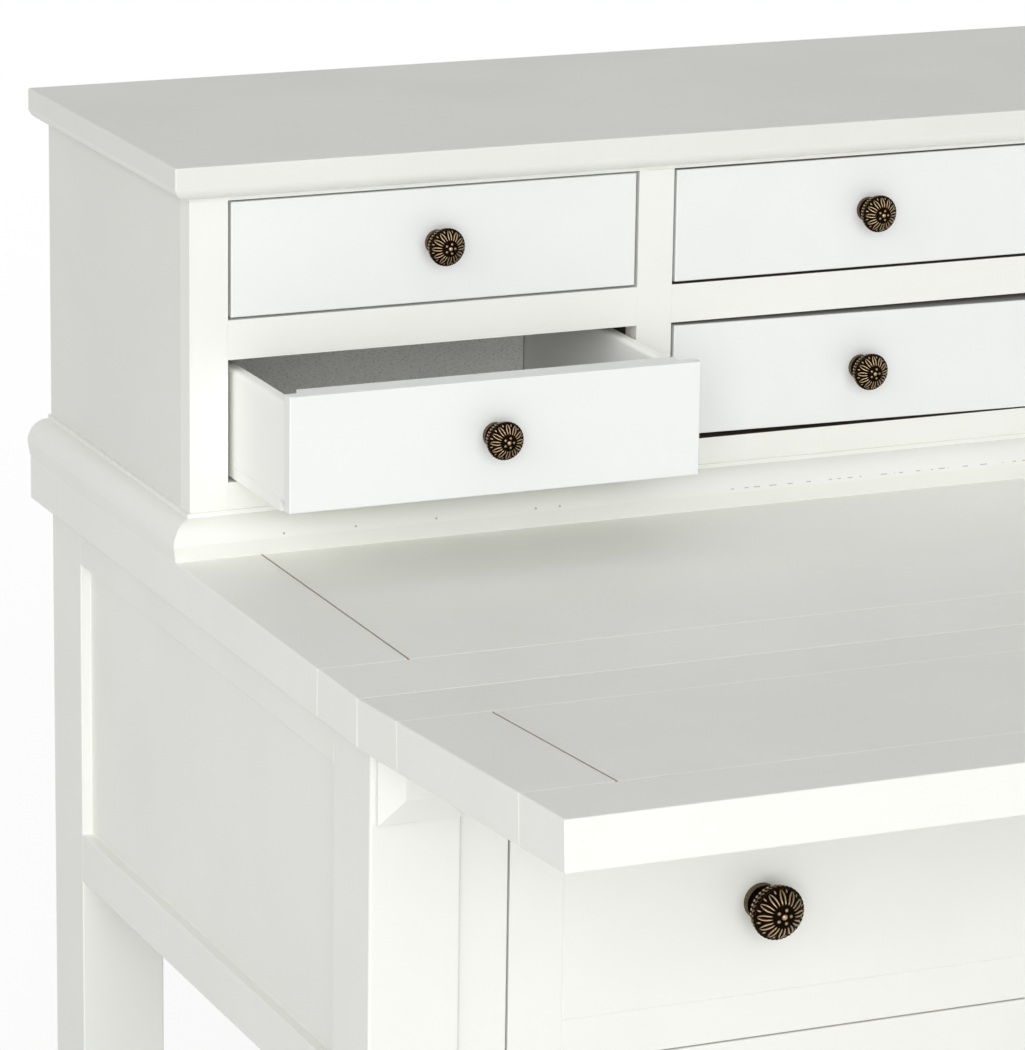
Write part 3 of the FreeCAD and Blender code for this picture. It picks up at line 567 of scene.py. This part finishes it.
def flower_knob(name, seat, head, reach):
    """A knob about the -Y axis at a seat point: an outline turned once, raised by the relief.

    point = seat + (r cos a, -z, r sin a), with r and z the outline moved along its normal by the relief.
    """
    knob = bpy.context.scene.desk_knob
    outline = outline_points(KNOB_OUTLINE_SHARES, OUTLINE_STEPS)
    angle = np.linspace(0, math.tau, knob.around, endpoint=False)[None, :]
    radius, height = outline[:, :1], outline[:, 1:]
    lift, shine = flower_relief(radius + 0 * angle, height + 0 * angle, angle + 0 * radius, knob)
    real = outline * (head, reach)
    slope = np.gradient(real, axis=0)
    slope /= np.linalg.norm(slope, axis=1, keepdims=True)
    r = np.clip(real[:, :1] + slope[:, 1:] * lift * head, 0, None)
    z = real[:, 1:] - slope[:, :1] * lift * head
    z[:, :] = np.clip(z, 0, None)
    points = np.stack((r * np.cos(angle), -z + 0 * angle, r * np.sin(angle)), axis=-1) + np.array(seat)
    return add_surface(name, points, shine)


def pan_screw(name, seat, shaft, length, head, thick):
    """A screw along -Y with its domed head at the seat, towards +Y: an outline turned once.

    point = seat + (r cos a, z, r sin a), with z sunk along a cross in the middle of the head.
    """
    dome = np.linspace(0, math.pi / 2, 12)
    outline = np.vstack((
        [(0, -length)], [(shaft, -length)], [(shaft, 0)], [(head, 0)],
        np.column_stack((head * np.cos(dome), thick * (0.45 + 0.55 * np.sin(dome)))),
    ))
    outline[-1, 0] = 0
    angle = np.linspace(0, math.tau, 48, endpoint=False)[None, :]
    radius, depth = outline[:, :1] + 0 * angle, outline[:, 1:] + 0 * angle
    arm = np.minimum(np.abs(np.cos(angle)), np.abs(np.sin(angle))) * radius
    sunk = (1 - smooth(arm, 0.10 * head, 0.16 * head)) * (1 - smooth(radius, 0.5 * head, 0.6 * head))
    depth = depth - 0.4 * thick * sunk * (depth > 0.5 * thick)
    points = np.stack((radius * np.cos(angle), depth, radius * np.sin(angle)), axis=-1) + np.array(seat)
    return add_surface(name, points[::-1])


# Operators


def cad(node):
    """A CAD node's object."""
    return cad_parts[node]


def dress(piece, material):
    """Give a piece one material."""
    piece.data.materials.clear()
    piece.data.materials.append(material)


def grain_of(node):
    """The axis that a board's grain follows: its longest side."""
    low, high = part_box(node)
    sides = high - low
    return "xyz"[max(range(3), key=lambda axis: sides[axis])]


class DESK_OT_paint_boards(bpy.types.Operator):
    """Paint every board, with brush marks along its length"""

    bl_idname = "desk.paint_boards"
    bl_label = "Paint boards"

    def execute(self, context):
        paint = context.scene.desk_paint
        boards = {grain: satin_paint(f"board_paint_{grain}", paint.board_colour, grain) for grain in "xyz"}
        fronts = satin_paint("drawer_paint", paint.drawer_colour, "x")
        # Painted shade: the face frame's faces in the shut drawers' gaps take the near-black wood colour
        shaded_frame_paint = satin_paint("face_frame_shaded_paint", paint.board_colour, "x", shaded_openings, paint.wood_and_shade_colour)
        cracked = {
            grain: satin_paint(
                f"cracked_paint_{grain}", paint.board_colour, grain, bare_cracks, paint.edge_colour)
            for grain in "xy"
        }
        # Painted shade on the hutch's sides and top board: the boards' paint, darker
        shaded_hutch_sides = satin_paint("hutch_side_shaded_paint", paint.hutch_shade_colour, grain_of("hutch_side_left"))
        special = {
            "hutch_face_frame": shaded_frame_paint,
            "hutch_foot_moulding": satin_paint("foot_paint", paint.board_colour, "x", marks=foot_marks),
            "hutch_top": satin_paint("hutch_top_shaded_paint", paint.hutch_shade_colour, "x"),
            "hutch_side_left": shaded_hutch_sides,
            "hutch_side_right": shaded_hutch_sides,
        }
        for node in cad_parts:
            if node in BARE_NODES or node.startswith("hinge_") or node.endswith(("_box", "_knob", "_knobs")):
                continue
            if node in CRACKED_NODES:
                dress(cad(node), cracked[grain_of(node)])
            elif node in special:
                dress(cad(node), special[node])
            else:
                small = node.endswith("drawer_front") and node != "base_drawer_front"
                dress(cad(node), fronts if small else boards[grain_of(node)])
        return {"FINISHED"}


class DESK_OT_finish_insides(bpy.types.Operator):
    """Paint the drawer boxes and leave the carcase's inside in bare wood, darkened as painted shade"""

    bl_idname = "desk.finish_insides"
    bl_label = "Finish insides"

    def execute(self, context):
        paint = context.scene.desk_paint
        boxes = grained_paint("drawer_box_paint", paint.inside_colour)
        # Painted shade: the carcase's bare wood takes the near-black wood colour
        wood_and_shade = shaded_bare_wood("shaded_bare_wood", paint.wood_and_shade_colour)
        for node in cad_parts:
            if node.endswith("_box"):
                dress(cad(node), boxes)
        for node in BARE_NODES:
            dress(cad(node), wood_and_shade)
        return {"FINISHED"}


# The screw in a knob: radii of its shaft and head, and how far it reaches past the drawer front's face
SCREW_SHAFT = 2 * MM
SCREW_HEAD = 4 * MM
SCREW_PAST = 6 * MM


class DESK_OT_make_knobs(bpy.types.Operator):
    """Turn the flower-headed knobs and their screws"""

    bl_idname = "desk.make_knobs"
    bl_label = "Make knobs"

    def execute(self, context):
        brass = aged_brass("aged_brass")
        metal = plain_brass("screw_brass")
        for drawer in SMALL_DRAWERS:
            low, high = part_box(f"{drawer}_knob")
            self.fit(drawer, f"{drawer}_knob", drawer, (low, high), (low.x + high.x) / 2, brass, metal)
        low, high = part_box("base_drawer_knobs")
        half = (high.z - low.z) / 2
        for side, x in (("left", low.x + half), ("right", high.x - half)):
            self.fit("base_drawer", "base_drawer_knobs", f"base_drawer_{side}", (low, high), x, brass, metal)
        return {"FINISHED"}

    def fit(self, body, node, name, box, x, brass, metal):
        """One knob on the face of its drawer front, and the screw behind it, in place of the CAD node."""
        low, high = box
        front_low, front_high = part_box(f"{body}_front")
        middle = (low.z + high.z) / 2
        face = (x, front_low.y, middle)
        knob = flower_knob(f"{name}_flower_knob", face, (high.z - low.z) / 2, front_low.y - low.y)
        thick = high.y - front_high.y
        back = (x, front_high.y, middle)
        length = front_high.y - front_low.y + SCREW_PAST
        screw = pan_screw(f"{name}_knob_screw", back, SCREW_SHAFT, length, SCREW_HEAD, thick)
        for piece, material, slot in ((knob, brass, "aged_brass"), (screw, metal, "hinge_metal")):
            dress(piece, material)
            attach(piece, body)
            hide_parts(node)


class DESK_OT_finish_hinges(bpy.types.Operator):
    """Give the concealed hinges their brass"""

    bl_idname = "desk.finish_hinges"
    bl_label = "Finish hinges"

    def execute(self, context):
        metal = plain_brass("hinge_brass")
        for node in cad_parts:
            if node.startswith("hinge_"):
                dress(cad(node), metal)
        return {"FINISHED"}


FLOOR_HALF = 20.0
SENSOR_WIDTH = 36

# Soft lamps: their size, the places where they hang and the place at which they point
SOFTBOX_SIZE = (5.8, 4.8)
FRONT_PLACE = (-2.47, -6.9, 2.5)
SIDE_PLACE = (-6.03, -1.96, 3.76)
TOP_PLACE = (-0.3, -1.3, 5.5)
LIT_PLACE = (0, 0, 0.8)

# Lamplight on the floor: its peak, the place of that, and the distance in which it halves
LAMPLIGHT_PEAK = 0.91
LAMPLIGHT_PLACE = (-3.0, -4.0, 0.0)
LAMPLIGHT_HALVING = 2.96


class DESK_OT_set_studio(bpy.types.Operator):
    """Lay the floor, hang the lights and place the camera"""

    bl_idname = "desk.set_studio"
    bl_label = "Set studio"

    def execute(self, context):
        studio = context.scene.desk_studio
        self.floor(studio)
        self.sky(studio)
        self.softbox("front_softbox", studio.key_power, FRONT_PLACE)
        self.softbox("side_softbox", studio.side_power, SIDE_PLACE)
        self.softbox("top_softbox", studio.top_power, TOP_PLACE)
        self.camera(context, studio)
        context.scene.view_settings.view_transform = "Standard"
        return {"FINISHED"}

    def floor(self, studio):
        """A wide pale floor that shows nearly white but keeps shadows.

        It is lifted less where the lamps light it: lamplight = peak * 2 ** (-distance / halving).
        """
        mesh = bpy.data.meshes.new("floor")
        corners = [(x * FLOOR_HALF, y * FLOOR_HALF, 0) for x, y in ((-1, -1), (1, -1), (1, 1), (-1, 1))]
        mesh.from_pydata(corners, [], [(0, 1, 2, 3)])
        floor = bpy.data.objects.new("floor", mesh)
        bpy.context.scene.collection.objects.link(floor)
        material, shader, place = start("floor")
        ends = {0: place, 1: LAMPLIGHT_PLACE}
        away = place.node("ShaderNodeVectorMath", {"operation": "DISTANCE"}, ends, out="Value")
        lamplight = away.math("POWER", 2.0, away * (-1 / LAMPLIGHT_HALVING)) * LAMPLIGHT_PEAK
        lift = seen_directly(place) * (studio.floor_glow - lamplight)
        finish_shader(
            shader, place,
            Base_Color=rgba(studio.floor_colour),
            Roughness=0.9,
            Specular_IOR_Level=0.0,
            Emission_Color=lift.mix(0.0, 1.0),
            Emission_Strength=1.0,
        )
        dress(floor, material)

    def sky(self, studio):
        """An even sky, white where it is seen and dimmer as light."""
        world = bpy.data.worlds.new("sky")
        bpy.context.scene.world = world
        world.use_nodes = True
        back = next(node for node in world.node_tree.nodes if node.type == "BACKGROUND")
        back.inputs["Strength"].default_value = 1.0
        seen = seen_directly(Wire(world.node_tree, back.outputs[0]))
        world.node_tree.links.new(seen.mix(studio.sky, 1.0).socket, back.inputs["Color"])

    def softbox(self, name, power, place):
        """A large soft lamp at a place, aimed at the desk."""
        light = bpy.data.lights.new(name, "AREA")
        light.shape = "RECTANGLE"
        light.size, light.size_y = SOFTBOX_SIZE
        light.energy = power
        lamp = bpy.data.objects.new(name, light)
        aim(lamp, Vector(place), Vector(LIT_PLACE))
        bpy.context.scene.collection.objects.link(lamp)

    def camera(self, context, studio):
        """The camera, turned by its azimuth, dip and roll."""
        data = bpy.data.cameras.new("camera")
        data.sensor_width = SENSOR_WIDTH
        data.lens = studio.lens
        camera = bpy.data.objects.new("camera", data)
        turn = (
            Matrix.Rotation(-studio.azimuth, 4, "Z")
            @ Matrix.Rotation(math.pi / 2 - studio.dip, 4, "X")
            @ Matrix.Rotation(studio.roll, 4, "Z")
        )
        camera.matrix_world = Matrix.Translation(studio.camera_place) @ turn
        context.scene.collection.objects.link(camera)
        context.scene.camera = camera


def seen_directly(wire):
    """1 for rays from the camera, or by way of gloss or glass, else 0."""
    path = wire.tree.nodes.new("ShaderNodeLightPath").outputs
    rays = [Wire(wire.tree, path[f"Is {kind} Ray"]) for kind in ("Camera", "Glossy", "Transmission")]
    return rays[0].math("MAXIMUM", rays[0].math("MAXIMUM", rays[0], rays[1]), rays[2])


def aim(lamp, place, target):
    """Set a lamp at a place, pointing at a target."""
    turn = (target - place).to_track_quat("-Z", "Y").to_matrix().to_4x4()
    lamp.matrix_world = Matrix.Translation(place) @ turn


class DESK_PT_panel(bpy.types.Panel):
    """The desk's finishes in the sidebar"""

    bl_idname = "DESK_PT_panel"
    bl_label = "Writing Desk"
    bl_space_type = "VIEW_3D"
    bl_region_type = "UI"
    bl_category = "Desk"

    def draw(self, context):
        for operator in OPERATORS:
            self.layout.operator(operator.bl_idname)
        for name in SETTINGS:
            group = getattr(context.scene, name)
            for prop in group.bl_rna.properties.keys():
                if prop not in ("rna_type", "name"):
                    self.layout.prop(group, prop)


SETTINGS = {
    "desk_paint": PaintSettings,
    "desk_brass": BrassSettings,
    "desk_knob": KnobSettings,
    "desk_studio": StudioSettings,
}
OPERATORS = (
    DESK_OT_paint_boards,
    DESK_OT_finish_insides,
    DESK_OT_make_knobs,
    DESK_OT_finish_hinges,
    DESK_OT_set_studio,
)


def register():
    for group in SETTINGS.values():
        bpy.utils.register_class(group)
    for name, group in SETTINGS.items():
        setattr(bpy.types.Scene, name, bpy.props.PointerProperty(type=group))
    for operator in OPERATORS:
        bpy.utils.register_class(operator)
    bpy.utils.register_class(DESK_PT_panel)


def unregister():
    bpy.utils.unregister_class(DESK_PT_panel)
    for operator in reversed(OPERATORS):
        bpy.utils.unregister_class(operator)
    for name in SETTINGS:
        delattr(bpy.types.Scene, name)
    for group in reversed(SETTINGS.values()):
        bpy.utils.unregister_class(group)


def main():
    register()
    bpy.ops.desk.paint_boards()
    bpy.ops.desk.finish_insides()
    bpy.ops.desk.make_knobs()
    bpy.ops.desk.finish_hinges()
    bpy.ops.desk.set_studio()


if __name__ == "__main__":
    main()
